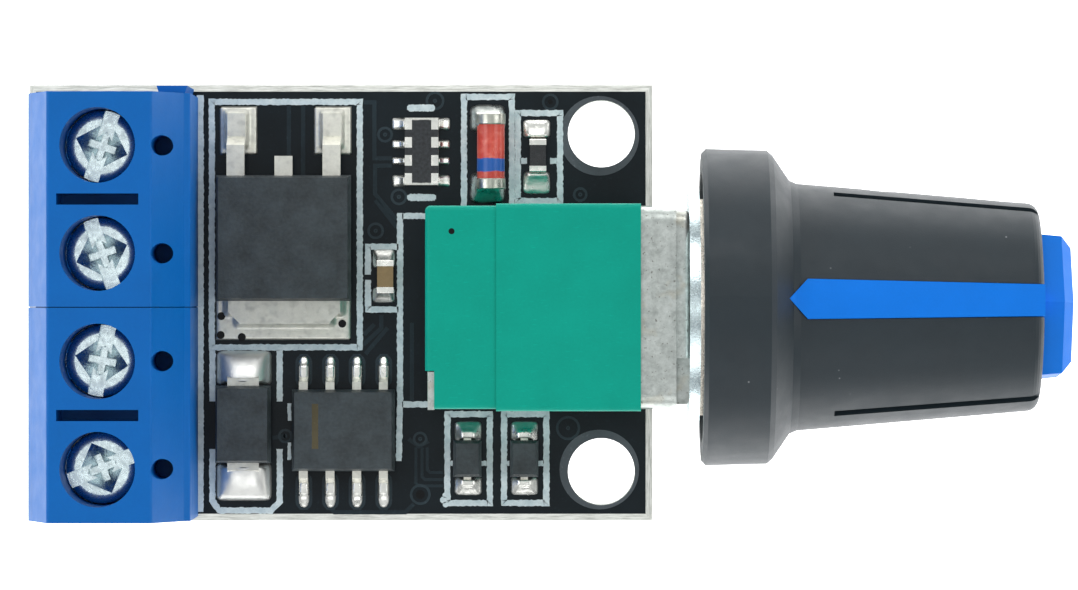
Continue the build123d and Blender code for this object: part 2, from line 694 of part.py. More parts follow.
shaft -= block(spline_start + 0.4, shaft_end + 1, axis_shift - shaft_dia, axis_shift + shaft_dia,
               axis_z - shaft_slot_width / 2, axis_z + shaft_slot_width / 2)
nodes["pot_shaft"] = shaft

ring = rod_x(ring_rear, ring_front, shaft_dia + 1.2) - rod_x(ring_rear - 1, ring_front + 1,
                                                           shaft_dia - 0.9 + 2 * snug)
ring -= block(ring_rear - 1, ring_front + 1, axis_shift - 1.6, axis_shift + 1.6, axis_z - shaft_dia, axis_z)
nodes["shaft_retaining_ring"] = ring

cam = rod_x(cam_x, cam_x + cam_length, cam_dia)
cam += block(cam_x, cam_x + cam_length, axis_shift - 0.6, axis_shift + 0.6, axis_z,
             axis_z + cam_dia / 2 + cam_nose)
cam -= rod_x(cam_x - 1, cam_x + cam_length + 1, neck_dia + 2 * snug)
nodes["switch_cam"] = cam

# ---------------------------------------------------------------- washer and nut
washer = rod_x(frame_front, frame_front + washer_thickness, washer_dia)
nodes["mounting_washer"] = washer - rod_x(frame_front - 1, frame_front + 2, bushing_dia + 0.2)
nut_rear = frame_front + washer_thickness
flats = Pos(nut_rear, axis_shift, axis_z) * Rot(Y=90) * extrude(
    RegularPolygon(nut_flats / 2, 6, major_radius=False), nut_height)
rounding = turned_x([(nut_rear, 0), (nut_rear, nut_corner_dia / 2), (nut_rear + nut_height - 0.4,
                    nut_corner_dia / 2), (nut_rear + nut_height, nut_flats / 2), (nut_rear + nut_height, 0)])
nodes["mounting_nut"] = (flats & rounding) - rod_x(nut_rear - 1, nut_rear + nut_height + 1,
                                                 bushing_dia + 2 * snug)

# ---------------------------------------------------------------- knob
skirt_r, body_r, nose_r = skirt_dia / 2, knob_body_dia / 2, knob_nose_dia / 2
taper = (body_r - nose_r) / (knob_end - knob_cone_end)
hub_start = bushing_end + 0.3
outer = [(knob_rear, 0), (knob_rear, skirt_r - 0.2), (knob_rear + 0.2, skirt_r),
         (knob_skirt_end - 0.25, skirt_r - 0.08), (knob_skirt_end, skirt_r - 0.3),
         (knob_cone_end - 0.15, body_r + 0.12), (knob_cone_end + 0.2, body_r - 0.03)]
for k in range(7):
    a = radians(90 * k / 6)
    outer.append((knob_end - knob_edge_round * (1 - sin(a)), nose_r - knob_edge_round * (1 - cos(a))))
outer += [(knob_end + knob_dome * 0.7, nose_r * 0.5), (knob_end + knob_dome, 0)]
shell = turned_x(outer)
cavity = turned_x([(knob_rear - 1, 0), (knob_rear - 1, skirt_inner_dia / 2 + 0.1),
                   (knob_skirt_end - 1.0, skirt_inner_dia / 2), (knob_skirt_end + 0.6, body_r - 1.0),
                   (hub_start, body_r - 1.15), (hub_start, 0)])
shell -= cavity
stem_rear = knob_end - stem_length
shell -= rod_x(hub_start - 1, shaft_end + 0.4, knob_bore_dia)
shell -= rod_x(stem_rear - snug, knob_end + 2, stem_dia + 2 * snug)

pointer_plan = [(pointer_tip, 0), (pointer_shoulder, pointer_width_rear / 2),
                (knob_end, pointer_width_front / 2), (knob_end, -pointer_width_front / 2),
                (pointer_shoulder, -pointer_width_rear / 2)]
slot_plan = [(pointer_tip - snug, 0), (pointer_shoulder, pointer_width_rear / 2 + snug),
             (knob_end + 1, pointer_width_front / 2 + snug), (knob_end + 1, -pointer_width_front / 2 - snug),
             (pointer_shoulder, -pointer_width_rear / 2 - snug)]


def fin(plan, floor_r, end):
    """Radial bar under the pointer, its floor parallel to the tapered body."""
    bar = Pos(0, axis_shift, axis_z) * prism_z(plan, 0, skirt_r)
    hub = turned_x([(pointer_tip - 1, 0), (pointer_tip - 1, floor_r),
                    (end + 1, floor_r - taper * (end + 2 - pointer_tip)), (end + 1, 0)])
    return bar - hub


envelope = turned_x([(pointer_tip - 2, 0), (pointer_tip - 2, skirt_r), (pointer_tip, body_r + 0.32),
                     (knob_cone_end, body_r + pointer_proud), (knob_end, nose_r + pointer_proud),
                     (knob_end, 0)])
floor_r = body_r - pointer_depth
strip = fin(pointer_plan, floor_r, knob_end) & envelope
shell -= fin(slot_plan, floor_r - snug, knob_end)
web_x = knob_end - 1.6
web_half = pointer_width_front / 2
web_top = nose_r - pointer_depth + 0.6
shell -= block(web_x - snug, knob_end + 1, axis_shift - web_half - snug, axis_shift + web_half + snug,
               axis_z, axis_z + web_top)
for k in range(groove_count):
    angle = groove_first + (360 - 2 * groove_first) * k / (groove_count - 1)
    r0 = body_r - taper * (groove_start - knob_cone_end) - groove_depth
    r1 = r0 - taper * (knob_end + 1 - groove_start)
    cut = prism_y([(groove_start, r0), (knob_end + 1, r1), (knob_end + 1, r0 + 2), (groove_start, r0 + 2)],
                  -groove_width / 2, groove_width / 2)
    shell -= Pos(0, axis_shift, axis_z) * Rot(X=angle) * cut

hex_r = cap_dia / 2
cap_sections = [(-0.2, hex_r), (cap_length - cap_facet, hex_r - 0.12), (cap_length, hex_r - 0.75)]


def hexagon_at(x, radius):
    return Pos(knob_end + x, axis_shift, axis_z) * Rot(Y=90) * RegularPolygon(radius, 6)


cap = loft([hexagon_at(*cap_sections[0]), hexagon_at(*cap_sections[1])])
cap += loft([hexagon_at(*cap_sections[1]), hexagon_at(*cap_sections[2])])
shell -= loft([hexagon_at(-0.25, hex_r + snug), hexagon_at(2, hex_r + snug)])
insert = cap + rod_x(stem_rear, knob_end, stem_dia) + strip
insert += block(web_x, knob_end, axis_shift - web_half, axis_shift + web_half, axis_z, axis_z + web_top)


def lean(shape):
    """Turn a knob part about the shaft to its rest angle."""
    return Pos(0, axis_shift, axis_z) * Rot(X=-knob_tilt) * Pos(0, -axis_shift, -axis_z) * shape


nodes["knob_shell"] = lean(shell)
nodes["knob_insert"] = lean(insert)

# ---------------------------------------------------------------- solder on the underside
joints = []
for spot, (x, y, dia) in enumerate(pin_spots):
    cone = Pos(x, y, -solder_height / 2) * Cone(solder_top_dia / 2, solder_base_dia / 2, solder_height)
    if spot < pole_count:
        hx, hy = pin_thickness / 2 - 0.05, pin_width / 2
        cx = x - snug
    else:
        hx, hy = pot_pin_thickness / 2, pot_pin_width / 2
        cx = x
    joints.append(cone - block(cx - hx, cx + hx, y - hy, y + hy, -solder_height - 1, 1))
nodes["solder_joints"] = group(joints)

# ---------------------------------------------------------------- export
for name, shape in nodes.items():
    export_step(shape, "parts/" + name + ".step")
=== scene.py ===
import json
import math
import random

import bpy
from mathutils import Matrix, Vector


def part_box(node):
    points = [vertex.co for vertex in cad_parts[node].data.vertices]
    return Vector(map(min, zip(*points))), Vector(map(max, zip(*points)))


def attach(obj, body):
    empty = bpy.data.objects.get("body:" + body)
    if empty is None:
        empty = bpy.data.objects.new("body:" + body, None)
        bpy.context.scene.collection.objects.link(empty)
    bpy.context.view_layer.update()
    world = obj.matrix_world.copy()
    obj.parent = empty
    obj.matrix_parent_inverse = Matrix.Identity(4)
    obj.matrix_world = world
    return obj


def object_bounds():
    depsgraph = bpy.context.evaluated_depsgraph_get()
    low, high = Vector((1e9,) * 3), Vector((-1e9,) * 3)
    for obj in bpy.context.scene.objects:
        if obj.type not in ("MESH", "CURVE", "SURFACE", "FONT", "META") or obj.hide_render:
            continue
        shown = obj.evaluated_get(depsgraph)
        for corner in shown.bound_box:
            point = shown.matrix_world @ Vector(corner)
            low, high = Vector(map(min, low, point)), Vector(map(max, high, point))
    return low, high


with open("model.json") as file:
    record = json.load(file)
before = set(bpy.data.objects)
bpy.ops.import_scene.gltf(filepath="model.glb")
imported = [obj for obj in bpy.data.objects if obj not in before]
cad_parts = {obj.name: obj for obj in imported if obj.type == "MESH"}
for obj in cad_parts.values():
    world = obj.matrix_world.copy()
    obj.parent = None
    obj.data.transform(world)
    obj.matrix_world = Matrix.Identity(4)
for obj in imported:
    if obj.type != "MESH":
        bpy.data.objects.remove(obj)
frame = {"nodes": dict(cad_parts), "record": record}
cad_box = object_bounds()
nodes = frame["nodes"]
MM = 0.001
rng = random.Random(7)

scene = bpy.context.scene
scene.view_settings.view_transform = "Standard"
scene.view_settings.look = "None"


# ---------------------------------------------------------------- places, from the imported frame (mm)
def box_mm(name):
    lo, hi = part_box(name)
    return [v / MM for v in lo], [v / MM for v in hi]


def centre_mm(name):
    return [(a + b) / 2 for a, b in zip(*box_mm(name))]


pcb_lo, pcb_hi = box_mm("pcb")
TOP = pcb_hi[2]


# ---------------------------------------------------------------- colour and shader helpers
def srgb(r, g, b):
    """Linear colour of an 8-bit display colour."""
    def lin(c):
        c = c / 255
        return c / 12.92 if c <= 0.04045 else ((c + 0.055) / 1.055) ** 2.4
    return (lin(r), lin(g), lin(b), 1.0)


class Shader:
    """One procedural material under construction."""

    def __init__(self, name, **sockets):
        self.mat = bpy.data.materials.new(name)
        self.mat.use_nodes = True
        self.tree = self.mat.node_tree
        self.bsdf = self.tree.nodes["Principled BSDF"]
        for key, value in sockets.items():
            self.bsdf.inputs[key.replace("_", " ")].default_value = value
        self.coords = self.tree.nodes.new("ShaderNodeTexCoord")
        self.at = self.coords.outputs["Object"]
        self.bump_chain = None

    def new(self, kind, **props):
        n = self.tree.nodes.new(kind)
        for k, v in props.items():
            setattr(n, k, v)
        return n

    def link(self, a, b):
        self.tree.links.new(a, b)

    def feed(self, socket, v):
        """Link an output to the socket, or set a constant on it."""
        if hasattr(v, "links"):
            self.link(v, socket)
        else:
            socket.default_value = v

    def math(self, op, *values):
        n = self.new("ShaderNodeMath", operation=op)
        for socket, v in zip(n.inputs, values):
            self.feed(socket, v)
        return n.outputs[0]

    def stretched(self, scale):
        """Object coordinates scaled by axis, for marks that run one way."""
        n = self.new("ShaderNodeMapping")
        n.inputs["Scale"].default_value = scale
        self.link(self.at, n.inputs["Vector"])
        return n.outputs[0]

    def noise(self, size_mm, detail=3.0, rough=0.55, vector=None):
        n = self.new("ShaderNodeTexNoise")
        n.inputs["Scale"].default_value = 1 / (size_mm * MM)
        n.inputs["Detail"].default_value = detail
        n.inputs["Roughness"].default_value = rough
        self.link(vector or self.at, n.inputs["Vector"])
        return n.outputs["Fac"]

    def cells(self, size_mm, out="Distance"):
        n = self.new("ShaderNodeTexVoronoi")
        n.inputs["Scale"].default_value = 1 / (size_mm * MM)
        self.link(self.at, n.inputs["Vector"])
        return n.outputs[out]

    def ramp(self, value, stops):
        n = self.new("ShaderNodeValToRGB")
        el = n.color_ramp.elements
        while len(el) < len(stops):
            el.new(0.5)
        for e, (place, colour) in zip(el, stops):
            e.position = place
            e.color = colour
        self.link(value, n.inputs["Fac"])
        return n.outputs["Color"]

    def levels(self, value, a, b, lo=0.0, hi=1.0):
        """Map a..b onto lo..hi, flat beyond both ends."""
        n = self.new("ShaderNodeMapRange")
        n.inputs["From Min"].default_value = a
        n.inputs["From Max"].default_value = b
        n.inputs["To Min"].default_value = lo
        n.inputs["To Max"].default_value = hi
        self.link(value, n.inputs["Value"])
        return n.outputs["Result"]

    def mix(self, fac, a, b):
        """Colour a where fac is 0, colour b where it is 1."""
        n = self.new("ShaderNodeMix", data_type="RGBA")
        factor_in, colour_a_in, colour_b_in, colour_out = n.inputs[0], n.inputs[6], n.inputs[7], n.outputs[2]
        for socket, v in ((factor_in, fac), (colour_a_in, a), (colour_b_in, b)):
            self.feed(socket, v)
        return colour_out

    def axis(self, which, source="Object"):
        """One component (0, 1, 2) of the position or of the normal."""
        n = self.new("ShaderNodeSeparateXYZ")
        self.link(self.coords.outputs[source], n.inputs[0])
        return n.outputs[which]

    def colour(self, out):
        self.link(out, self.bsdf.inputs["Base Color"])

    def rough(self, out):
        self.link(out, self.bsdf.inputs["Roughness"])

    def bump(self, height, depth_mm, strength=1.0):
        n = self.new("ShaderNodeBump")
        n.inputs["Distance"].default_value = depth_mm * MM
        n.inputs["Strength"].default_value = strength
        self.link(height, n.inputs["Height"])
        if self.bump_chain:
            self.link(self.bump_chain, n.inputs["Normal"])
        self.bump_chain = n.outputs["Normal"]
        self.link(self.bump_chain, self.bsdf.inputs["Normal"])


def scale_colour(c, k):
    return tuple(min(1, v * k) for v in c[:3]) + (1,)


def plastic(name, base, vary=0.12, rough=(0.35, 0.5), grain_mm=0.12, bump_mm=0.004, blotch_mm=3.0,
            scratch=0.0, dust=0.0, **sockets):
    """Moulded plastic: mottled colour, fine grain, flow marks, optional scratches and dust."""
    s = Shader(name, **sockets)
    blotch = s.noise(blotch_mm, 4)
    grain = s.noise(grain_mm, 2)
    tone = s.ramp(s.math("ADD", s.math("MULTIPLY", blotch, 0.7), s.math("MULTIPLY", grain, 0.3)),
                  [(0.3, scale_colour(base, 1 - vary)), (0.7, scale_colour(base, 1 + vary))])
    if scratch:
        lines = s.noise(0.5, 1, 0.5, s.stretched((1, 14, 1)))
        marks = s.levels(lines, 0.70, 0.74)
        tone = s.mix(s.math("MULTIPLY", marks, scratch), tone, scale_colour(base, 2.2))
    if dust:
        specks = s.levels(s.cells(1.1), 0.0, 0.055, 1.0, 0.0)
        keep = s.levels(s.noise(1.7, 1), 0.52, 0.56)
        tone = s.mix(s.math("MULTIPLY", s.math("MULTIPLY", specks, keep), dust), tone,
                     (0.35, 0.37, 0.38, 1))
    s.colour(tone)
    s.rough(s.levels(s.noise(blotch_mm * 0.4, 3), 0.3, 0.7, rough[0], rough[1]))
    s.bump(grain, bump_mm)
    s.bump(s.noise(blotch_mm, 2), bump_mm * 4, 0.5)
    return s


def metal(name, base, vary=0.12, rough=(0.2, 0.35), grain_mm=0.2, bump_mm=0.004, stretch=(1, 1, 1),
          dirt=0.0, **sockets):
    """Plated or bare metal with blotchy tone and drawn or grained marks."""
    sockets.setdefault("Metallic", 1.0)
    s = Shader(name, **sockets)
    vec = s.stretched(stretch)
    grain = s.noise(grain_mm, 3, 0.6, vec)
    blotch = s.noise(grain_mm * 7, 3)
    tone = s.ramp(s.math("ADD", s.math("MULTIPLY", blotch, 0.6), s.math("MULTIPLY", grain, 0.4)),
                  [(0.32, scale_colour(base, 1 - vary)), (0.68, scale_colour(base, 1 + vary))])
    if dirt:
        tone = s.mix(s.math("MULTIPLY", s.levels(s.noise(grain_mm * 4, 4), 0.52, 0.68), dirt), tone,
                     scale_colour(base, 0.35))
    s.colour(tone)
    s.rough(s.levels(s.noise(grain_mm * 2, 3, 0.6, vec), 0.3, 0.7, rough[0], rough[1]))
    s.bump(grain, bump_mm)
    return s


# ---------------------------------------------------------------- materials
# metal(name, colour, variation, roughness range, grain size, bump depth); plastic(...) has the size of
# its blotches after that. Sizes are in mm. Further names are inputs of the Principled shader.
m = {}


def solder_mask(name, base):
    """Lacquer on the board, cloudy and finely speckled; also returns its colour."""
    s = Shader(name, Specular_IOR_Level=0.16, Coat_Weight=0.02, Coat_Roughness=0.2)
    cloud = s.noise(2.5, 4)
    fine = s.noise(0.15, 2)
    tone = s.ramp(cloud, [(0.3, scale_colour(base, 0.75)), (0.7, scale_colour(base, 1.25))])
    tone = s.mix(s.levels(fine, 0.62, 0.75, 0, 0.35), tone, scale_colour(base, 2.4))
    s.colour(tone)
    s.rough(s.levels(s.noise(0.8, 3), 0.3, 0.7, 0.28, 0.42))
    s.bump(s.noise(0.35, 2), 0.006)
    s.bump(fine, 0.002)
    return s, tone


def board_material():
    """Solder mask on the flat faces, cut glass fibre on the edges."""
    s, mask = solder_mask("board_mask", srgb(19, 28, 33))
    upright = s.math("ABSOLUTE", s.axis(2, "Normal"))
    is_mask = s.levels(upright, 0.80, 0.9)
    fibre = s.noise(0.25, 4, 0.7, s.stretched((0.25, 0.25, 3.0)))
    resin = s.ramp(fibre, [(0.3, srgb(150, 152, 146)), (0.5, srgb(203, 205, 198)), (0.72, srgb(232, 233, 228))])
    s.colour(s.mix(is_mask, resin, mask))
    s.rough(s.levels(upright, 0.80, 0.9, 0.7, 0.33))
    s.bump(fibre, 0.02, 0.5)
    return s.mat


m["board"] = board_material()
m["trace"] = solder_mask("mask_over_trace", srgb(34, 46, 52))[0].mat
m["tent"] = solder_mask("mask_over_via", srgb(44, 56, 62))[0].mat


def ink_material():
    """Screen-printed white, thin in places."""
    s = Shader("white_ink")
    fine = s.noise(0.08, 2)
    thin = s.noise(0.4, 3)
    tone = s.ramp(thin, [(0.3, srgb(190, 207, 212)), (0.7, srgb(222, 234, 236))])
    s.colour(s.mix(s.levels(fine, 0.62, 0.74, 0, 0.4), tone, srgb(125, 140, 146)))
    s.rough(s.levels(fine, 0.3, 0.7, 0.45, 0.7))
    s.bump(fine, 0.01)
    return s.mat


m["ink"] = ink_material()
m["rim"] = solder_mask("bare_laminate_rim", srgb(82, 88, 93))[0].mat
# near-black colour for the discs that stand for open holes: painted shade inside the holes
m["bore"] = solder_mask("via_bore_painted_shade", srgb(14, 16, 18))[0].mat
m["mark"] = solder_mask("mould_mark", srgb(92, 84, 62))[0].mat


def solder_material():
    """Bright solder with a rippled skin."""
    s = metal("bright_solder", (0.80, 0.80, 0.75, 1), 0.1, (0.22, 0.42), 0.25, 0.01)
    s.bump(s.noise(0.5, 2), 0.03, 0.6)
    return s.mat


m["solder"] = solder_material()
m["heap"] = metal("smooth_solder_heap", (0.84, 0.84, 0.80, 1), 0.08, (0.3, 0.5), 0.3, 0.01, Metallic=0.8,
                  dirt=0.12).mat
m["tin"] = metal("matt_tin", (0.84, 0.83, 0.74, 1), 0.1, (0.36, 0.52), 0.1, 0.008, dirt=0.28, Metallic=0.65).mat
m["cap"] = metal("plated_end_cap", (0.56, 0.57, 0.50, 1), 0.12, (0.26, 0.42), 0.15, 0.008, dirt=0.2).mat
m["zinc"] = metal("zinc_plated", (0.76, 0.89, 0.93, 1), 0.12, (0.2, 0.33), 0.12, 0.01, dirt=0.15).mat
m["clamp"] = metal("clamp_steel", (0.62, 0.64, 0.65, 1), 0.12, (0.3, 0.5), 0.2, 0.006, dirt=0.3).mat
m["brass_tin"] = metal("tinned_contact", (0.78, 0.75, 0.66, 1), 0.08, (0.25, 0.4), 0.15, 0.005).mat
m["nickel"] = metal("nickel_plate", (0.70, 0.66, 0.58, 1), 0.08, (0.18, 0.3), 0.2, 0.004).mat
m["aluminium"] = metal("turned_aluminium", (0.80, 0.80, 0.81, 1), 0.06, (0.25, 0.4), 0.15, 0.004,
                       stretch=(6, 1, 1)).mat

m["blue"] = plastic("terminal_blue", srgb(0, 101, 182), 0.06, (0.42, 0.52), 0.15, 0.004, 2.5,
                    Specular_IOR_Level=0.2, Subsurface_Weight=0.05, Subsurface_Radius=(0.1, 0.2, 0.5),
                    Subsurface_Scale=0.0008).mat
m["green"] = plastic("pot_green", srgb(0, 158, 137), 0.07, (0.42, 0.54), 0.12, 0.005, 2.2, scratch=0.2,
                     Specular_IOR_Level=0.15).mat
m["epoxy"] = plastic("mould_compound", srgb(54, 62, 65), 0.5, (0.45, 0.62), 0.17, 0.02, 1.2,
                     scratch=0.25, dust=1.0).mat
m["knob"] = plastic("soft_touch_black", srgb(23, 37, 44), 0.12, (0.46, 0.56), 0.05, 0.006, 2.5, dust=0.9,
                    scratch=0.06, Sheen_Weight=0.08, Sheen_Roughness=0.4).mat
m["knob_blue"] = plastic("knob_blue", srgb(0, 120, 228), 0.05, (0.4, 0.5), 0.1, 0.004, 2.0,
                         Specular_IOR_Level=0.2).mat
m["white"] = plastic("white_moulding", srgb(225, 224, 216), 0.04, (0.4, 0.5), 0.15, 0.004, 2.0).mat
m["phenolic"] = plastic("phenolic", srgb(120, 74, 38), 0.12, (0.5, 0.6), 0.15, 0.008, 1.0).mat
m["coat"] = plastic("glazed_overcoat", srgb(30, 33, 36), 0.12, (0.22, 0.35), 0.08, 0.004, 0.6).mat
m["mlcc"] = plastic("capacitor_ceramic", srgb(150, 124, 84), 0.14, (0.3, 0.42), 0.08, 0.006, 0.3).mat


def array_material():
    """Black overcoat, with bare white ceramic along both ends."""
    s = Shader("array_body")
    lo, hi = box_mm("resistor_array_body")
    off = s.math("ABSOLUTE", s.math("SUBTRACT", s.axis(1), (lo[1] + hi[1]) / 2 * MM))
    wobble = s.math("MULTIPLY", s.noise(0.25, 2), 0.06 * MM)
    half = (hi[1] - lo[1]) / 2
    is_coat = s.levels(s.math("ADD", off, wobble), (half - 0.09) * MM, (half - 0.05) * MM, 1.0, 0.0)
    up = s.levels(s.axis(2, "Normal"), 0.5, 0.7)
    coat = s.ramp(s.noise(0.15, 3), [(0.3, srgb(24, 27, 30)), (0.7, srgb(48, 52, 56))])
    ceramic = s.ramp(s.noise(0.1, 3), [(0.3, srgb(205, 203, 194)), (0.7, srgb(236, 234, 228))])
    s.colour(s.mix(s.math("MULTIPLY", is_coat, up), ceramic, coat))
    s.rough(s.levels(is_coat, 0, 1, 0.6, 0.3))
    s.bump(s.noise(0.12, 3), 0.01)
    return s.mat


m["array"] = array_material()


def glass_material():
    """Red glass with one painted band near an end."""
    s = Shader("red_glass", Coat_Weight=0.35, Coat_Roughness=0.25, Specular_IOR_Level=0.4)
    lo, hi = box_mm("glass_diode_body")
    along = s.math("ADD", s.axis(1), s.math("MULTIPLY", s.noise(0.4, 2), 0.12 * MM))
    band_from, band_to, soft = (lo[1] + 0.36) * MM, (lo[1] + 0.98) * MM, 0.05 * MM
    band = s.math("MULTIPLY", s.levels(along, band_from, band_from + soft),
                  s.levels(along, band_to, band_to + soft, 1.0, 0.0))
    deep = s.ramp(s.noise(0.5, 3), [(0.3, srgb(205, 62, 50)), (0.55, srgb(224, 84, 68)),
                                    (0.75, srgb(238, 130, 112))])
    off = s.math("ABSOLUTE", s.math("SUBTRACT", s.axis(1), (lo[1] + hi[1]) / 2 * MM))
    core = s.levels(off, 0.5 * MM, 0.9 * MM)
    deep = s.mix(s.math("MULTIPLY", core, 0.2), deep, srgb(150, 50, 36))
    s.colour(s.mix(band, deep, srgb(20, 92, 178)))
    s.rough(s.levels(band, 0, 1, 0.3, 0.45))
    return s.mat


m["glass"] = glass_material()


def galvanised_material():
    """Zinc spangle with dark specks and warm patches."""
    s = Shader("galvanised_frame", Metallic=0.85)
    spangle = s.cells(0.8, out="Color")
    grey = s.new("ShaderNodeRGBToBW")
    s.link(spangle, grey.inputs[0])
    mottle = s.math("ADD", s.math("MULTIPLY", grey.outputs[0], 0.14),
                    s.math("MULTIPLY", s.noise(0.35, 5, 0.7), 0.86))
    tone = s.ramp(mottle,
                  [(0.3, (0.38, 0.41, 0.39, 1)), (0.5, (0.54, 0.58, 0.55, 1)), (0.72, (0.70, 0.74, 0.71, 1))])
    pits = s.levels(s.noise(0.18, 2, 0.7), 0.30, 0.36, 1.0, 0.0)
    tone = s.mix(s.math("MULTIPLY", pits, 0.7), tone, (0.14, 0.13, 0.11, 1))
    warm = s.levels(s.noise(1.1, 2), 0.58, 0.7, 0, 0.35)
    s.colour(s.mix(warm, tone, (0.52, 0.46, 0.33, 1)))
    s.rough(s.levels(s.noise(0.4, 4, 0.7), 0.3, 0.7, 0.32, 0.55))
    s.bump(s.noise(0.14, 4, 0.7), 0.012)
    return s.mat


m["galvanised"] = galvanised_material()


def threaded_material():
    """Nickel with ridges across the shaft's axis, standing for the thread."""
    ridge_mm = 1.5
    unit_wave = 0.314
    s = metal("threaded_nickel", (0.70, 0.66, 0.58, 1), 0.08, (0.2, 0.32), 0.2, 0.003)
    wave = s.new("ShaderNodeTexWave", bands_direction="X", wave_profile="TRI")
    wave.inputs["Scale"].default_value = unit_wave / (ridge_mm * MM)
    s.link(s.at, wave.inputs["Vector"])
    s.bump(wave.outputs["Fac"], 0.12)
    return s.mat


m["threaded"] = threaded_material()

looks = {
    "pcb": "board", "terminal_housing_a": "blue", "terminal_housing_b": "blue",
    "terminal_contacts_a": "brass_tin", "terminal_contacts_b": "brass_tin",
    "mosfet_body": "epoxy", "mosfet_leads": "tin", "rectifier_body": "epoxy", "rectifier_leads": "tin",
    "timer_chip_body": "epoxy", "timer_chip_leads": "tin", "resistor_array_body": "array",
    "resistor_array_terminals": "solder", "glass_diode_body": "glass", "glass_diode_caps": "cap",
    "chip_resistor_body": "coat", "chip_resistor_terminals": "solder", "chip_capacitor_body": "mlcc",
    "chip_capacitor_terminals": "solder", "signal_diode_bodies": "epoxy", "signal_diode_leads": "tin",
    "pot_front_frame": "galvanised", "pot_bushing": "threaded", "pot_housing": "green",
    "switch_housing": "green", "pot_track_board": "phenolic", "pot_terminals": "brass_tin",
    "switch_terminals": "brass_tin", "switch_contact_spring": "nickel", "pot_rotor": "white",
    "pot_wiper": "nickel", "pot_shaft": "aluminium", "shaft_retaining_ring": "clamp",
    "switch_cam": "white", "mounting_washer": "zinc", "mounting_nut": "nickel",
    "knob_shell": "knob", "knob_insert": "knob_blue", "solder_joints": "solder",
}
for pole in range(1, 5):
    looks["wire_clamp_%d" % pole] = "clamp"
    looks["terminal_screw_%d" % pole] = "zinc"
for node, look in looks.items():
    mesh = nodes[node].data
    mesh.materials.clear()
    mesh.materials.append(m[look])


# ---------------------------------------------------------------- mesh helpers (mm in, metres out)
def piece(name, pile, look, smooth):
    """Put a pile on the board body as one object."""
    mesh = bpy.data.meshes.new(name)
    mesh.from_pydata([(x * MM, y * MM, z * MM) for x, y, z in pile.v], [], pile.f)
    mesh.validate()
    mesh.update()
    for polygon in mesh.polygons:
        polygon.use_smooth = smooth
    mesh.materials.append(m[look])
    obj = bpy.data.objects.new(name, mesh)
    bpy.context.collection.objects.link(obj)
    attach(obj, "board")


def circle(cx, cy, r, spokes):
    angles = [2 * math.pi * k / spokes for k in range(spokes)]
    return [(cx + r * math.cos(a), cy + r * math.sin(a)) for a in angles]


PAD_FOOT = 0.002     # height of a pad's outline over the board
PLUG_DEPTH = 0.03    # length of the round plugs


